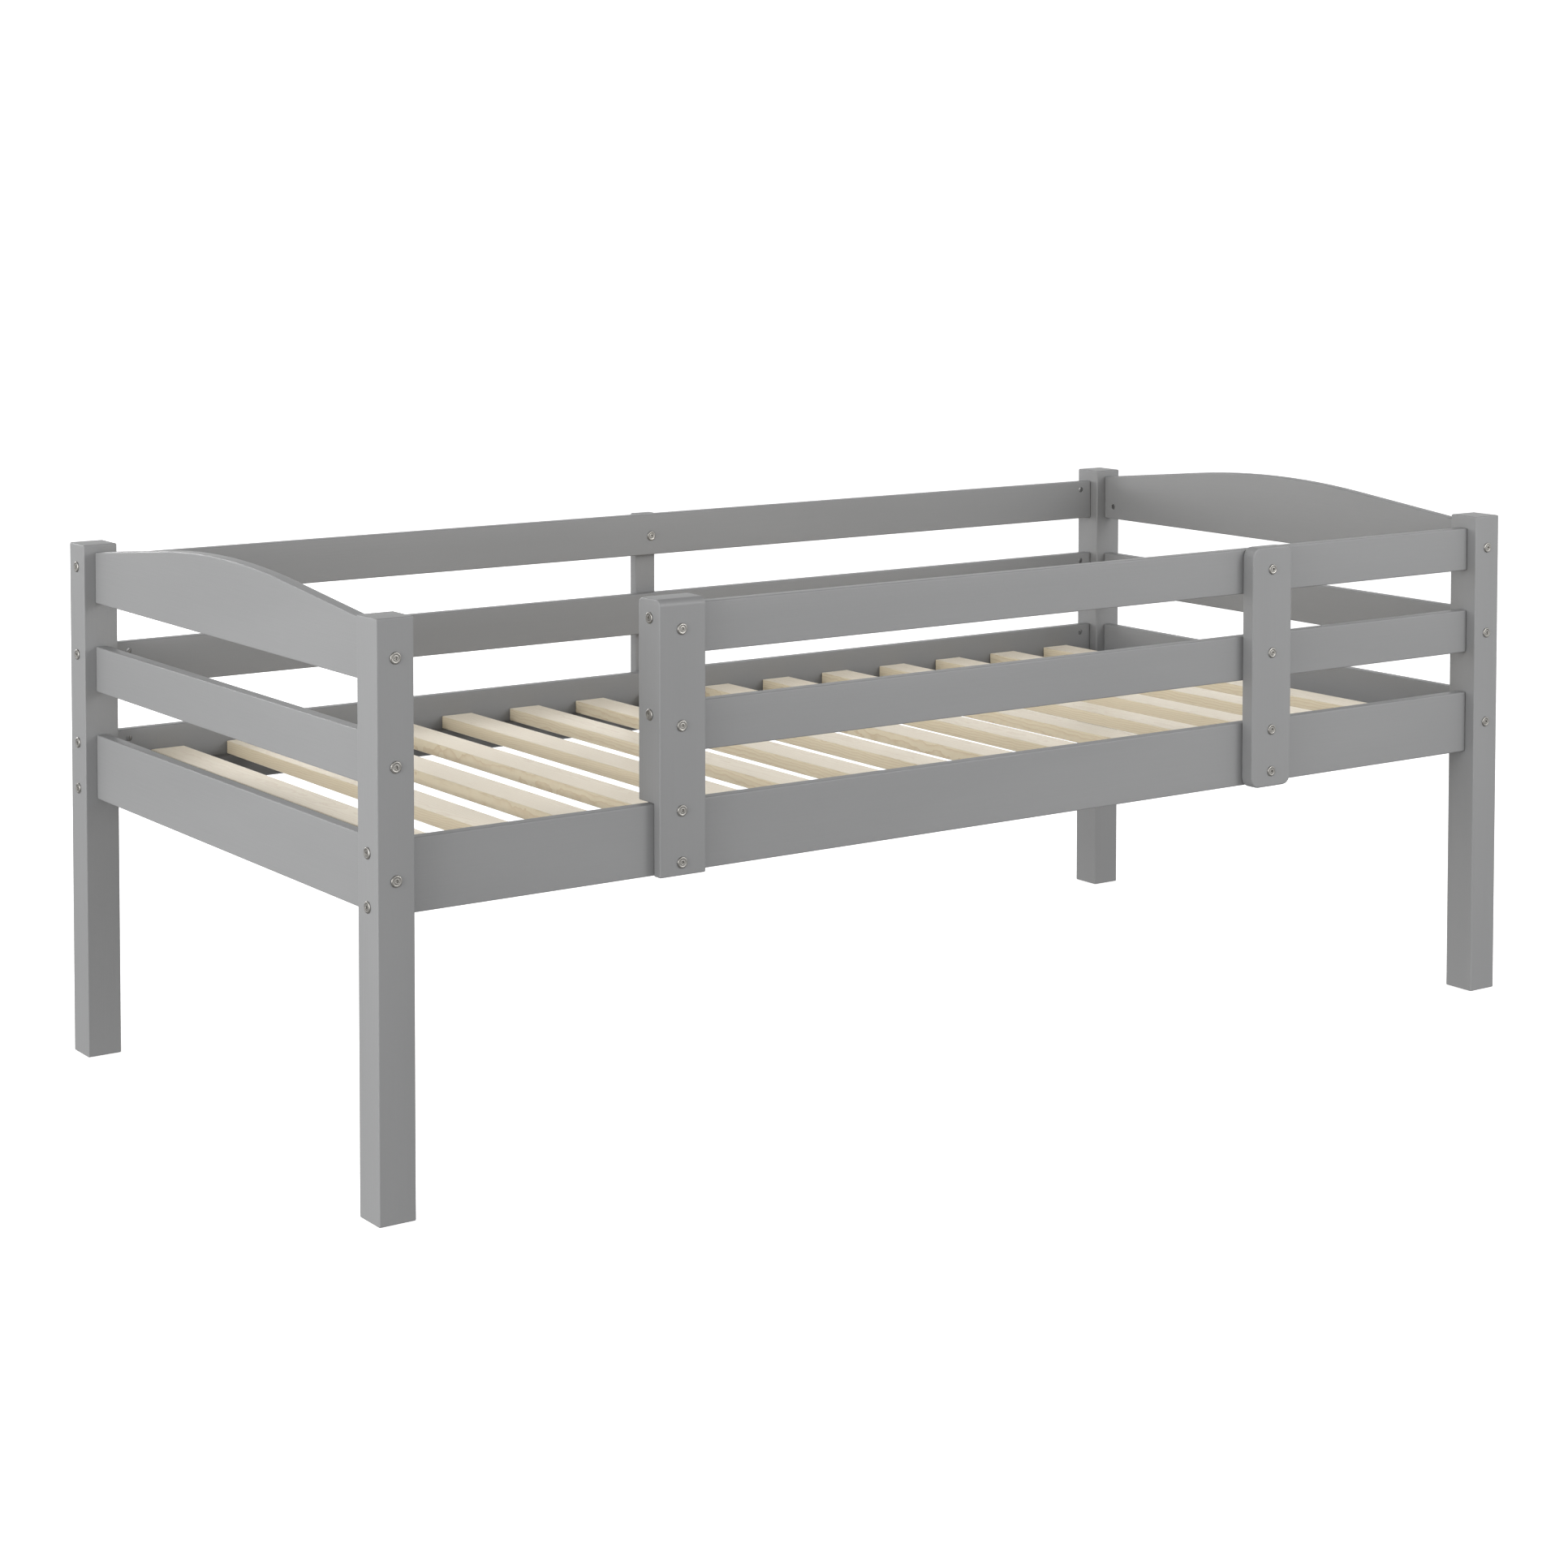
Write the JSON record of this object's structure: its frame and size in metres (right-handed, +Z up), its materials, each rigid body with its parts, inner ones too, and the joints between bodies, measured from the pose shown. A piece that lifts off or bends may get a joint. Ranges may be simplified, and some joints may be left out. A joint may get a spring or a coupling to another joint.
{
  "type": "raised single bed with guard rails",
  "caption": "Raised junior bed with guard rails round all sides, an entry gap at one end of the front, arched end boards, square posts and a slatted deck for a mattress.",
  "frame": {"origin": "on the floor, in the middle of the bed's bounding box", "axes": "+X along the bed's length, away from the entry gap; +Y from the entry side to the back; +Z up"},
  "size_m": [2.0862, 0.987, 0.8095],
  "materials": {
    "grey_paint": "satin mid-grey lacquer on smooth solid pine boards and posts, edges lightly rounded",
    "ledger_paint": "matt darker grey lacquer on the ledgers under the slats",
    "pine": "planed bare pine slats with pale straight and cathedral grain",
    "nickel_steel": "nickel-plated flat-headed connector bolts with hexagon sockets"
  },
  "bodies": {
    "root": {"back_brace": "grey_paint", "back_ledger": "ledger_paint", "back_rail_mid": "grey_paint", "back_rail_top": "grey_paint", "back_side_rail": "grey_paint", "bolt_back_left_long_mid": "nickel_steel", "bolt_back_left_long_side_high": "nickel_steel", "bolt_back_left_long_side_low": "nickel_steel", "bolt_back_left_long_top": "nickel_steel", "bolt_back_right_long_mid": "nickel_steel", "bolt_back_right_long_side_high": "nickel_steel", "bolt_back_right_long_side_low": "nickel_steel", "bolt_back_right_long_top": "nickel_steel", "bolt_front_left_end_mid": "nickel_steel", "bolt_front_left_end_side": "nickel_steel", "bolt_front_left_end_top": "nickel_steel", "bolt_front_left_long_side_high": "nickel_steel", "bolt_front_left_long_side_low": "nickel_steel", "bolt_front_right_end_mid": "nickel_steel", "bolt_front_right_end_side": "nickel_steel", "bolt_front_right_end_top": "nickel_steel", "bolt_front_right_long_mid": "nickel_steel", "bolt_front_right_long_side_high": "nickel_steel", "bolt_front_right_long_side_low": "nickel_steel", "bolt_front_right_long_top": "nickel_steel", "bolt_gate_front_mid": "nickel_steel", "bolt_gate_front_side_high": "nickel_steel", "bolt_gate_front_side_low": "nickel_steel", "bolt_gate_front_top": "nickel_steel", "front_brace": "grey_paint", "front_guard_rail_mid": "grey_paint", "front_guard_rail_top": "grey_paint", "front_ledger": "ledger_paint", "front_side_rail": "grey_paint", "gate_post": "grey_paint", "left_end_arch": "grey_paint", "left_end_rail_mid": "grey_paint", "left_end_rail_side": "grey_paint", "post_back_left": "grey_paint", "post_back_right": "grey_paint", "post_front_left": "grey_paint", "post_front_right": "grey_paint", "right_end_arch": "grey_paint", "right_end_rail_mid": "grey_paint", "right_end_rail_side": "grey_paint", "slat_01": "pine", "slat_02": "pine", "slat_03": "pine", "slat_04": "pine", "slat_05": "pine", "slat_06": "pine", "slat_07": "pine", "slat_08": "pine", "slat_09": "pine", "slat_10": "pine", "slat_11": "pine", "slat_12": "pine", "slat_13": "pine", "slat_14": "pine", "slat_15": "pine"}
  },
  "joints": []
}
